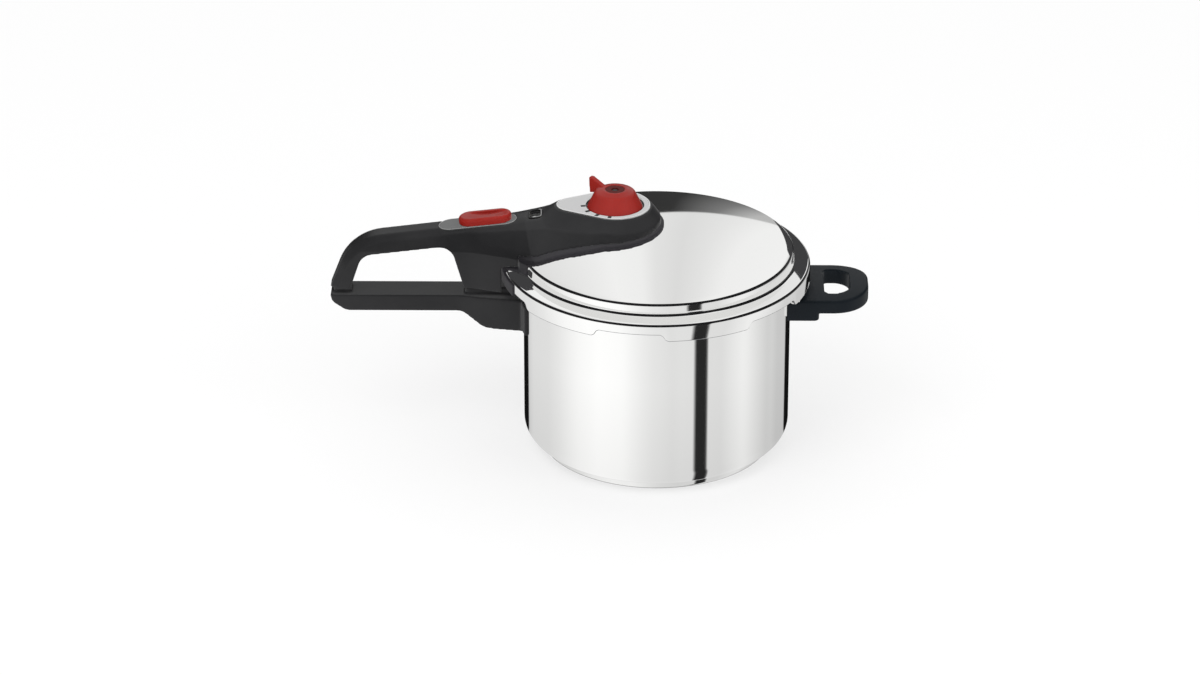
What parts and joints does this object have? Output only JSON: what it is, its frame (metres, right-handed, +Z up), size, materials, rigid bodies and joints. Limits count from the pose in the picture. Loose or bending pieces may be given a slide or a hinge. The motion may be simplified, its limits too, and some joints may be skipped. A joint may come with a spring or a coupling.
{
  "type": "stovetop pressure cooker",
  "caption": "Stovetop pressure cooker: steel pot with long and helper handles, and a bayonet lid whose loop handle carries a pressure selector, an opening button and valves.",
  "frame": {"origin": "on the resting plane, under the axis of the pot", "axes": "+Z up along the pot's axis; -X along the long handles; +X towards the helper handle"},
  "size_m": [0.4467, 0.254, 0.234],
  "materials": {
    "polished_steel": "mirror polished",
    "plain_steel": "satin",
    "spring_steel": "drawn wire",
    "core_aluminium": "as pressed",
    "silver_plate": "satin anodised",
    "brass": "turned",
    "black_phenolic": "satin moulded",
    "dark_plastic": "fine grain",
    "pale_plastic": "satin",
    "red_plastic": "gloss moulded",
    "grey_silicone": "satin silicone"
  },
  "bodies": {
    "pot": {"pot_shell": "polished_steel", "base_cap": "polished_steel", "base_core": "core_aluminium", "handle_bracket": "plain_steel", "pot_handle": "black_phenolic", "pot_handle_screw": "plain_steel", "helper_bracket": "polished_steel", "helper_handle": "black_phenolic", "helper_handle_screws": "plain_steel"},
    "seal": {"sealing_gasket": "grey_silicone"},
    "lid": {"lid_shell": "polished_steel", "lid_handle_shell": "black_phenolic", "handle_underplate": "dark_plastic", "underplate_screws": "plain_steel", "selector_plate": "silver_plate", "window_frame": "pale_plastic", "button_guide": "pale_plastic", "vent_tube": "brass", "vent_seal": "grey_silicone", "vent_nut": "brass", "indicator_bush": "brass", "indicator_nut": "brass", "safety_valve_body": "brass", "safety_valve_nut": "brass", "safety_cap": "brass", "safety_spring": "spring_steel", "button_spring": "spring_steel"},
    "button": {"opening_button": "red_plastic", "lock_slide": "plain_steel", "button_screw": "plain_steel"},
    "indicator": {"indicator_pin": "plain_steel", "indicator_seal": "grey_silicone"},
    "selector": {"selector_knob": "red_plastic", "selector_core": "dark_plastic", "regulator_cap": "plain_steel", "regulator_spring": "spring_steel"},
    "regulator": {"regulator_needle": "plain_steel"},
    "safety": {"safety_plunger": "plain_steel"}
  },
  "joints": [
    {"name": "lid_lift", "type": "slide", "parent": "pot", "child": "seal", "axis": [0, 0, 1], "range_m": [0, 0.15]},
    {"name": "lid_turn", "type": "hinge", "parent": "seal", "child": "lid", "pos_m": [0, 0, 0], "axis": [0, 0, 1], "range_deg": [0, 30]},
    {"name": "button_slide", "type": "slide", "parent": "lid", "child": "button", "axis": [-1, 0, 0], "range_m": [0, 0.009], "stiffness_N_per_m": 400, "springref_m": -0.01, "deforming": ["button_spring"]},
    {"name": "indicator_rise", "type": "slide", "parent": "lid", "child": "indicator", "axis": [0, 0, 1], "range_m": [0, 0.0035]},
    {"name": "selector_turn", "type": "hinge", "parent": "lid", "child": "selector", "pos_m": [-0.035, 0, 0.21], "axis": [0, 0, 1], "range_deg": [-45, 110]},
    {"name": "regulator_rise", "type": "slide", "parent": "selector", "child": "regulator", "axis": [0, 0, 1], "range_m": [0, 0.0012], "stiffness_N_per_m": 600, "springref_m": -0.002, "deforming": ["regulator_spring"]},
    {"name": "safety_valve_rise", "type": "slide", "parent": "lid", "child": "safety", "axis": [0, 0, 1], "range_m": [0, 0.0015], "stiffness_N_per_m": 600, "springref_m": -0.002, "deforming": ["safety_spring"]}
  ]
}
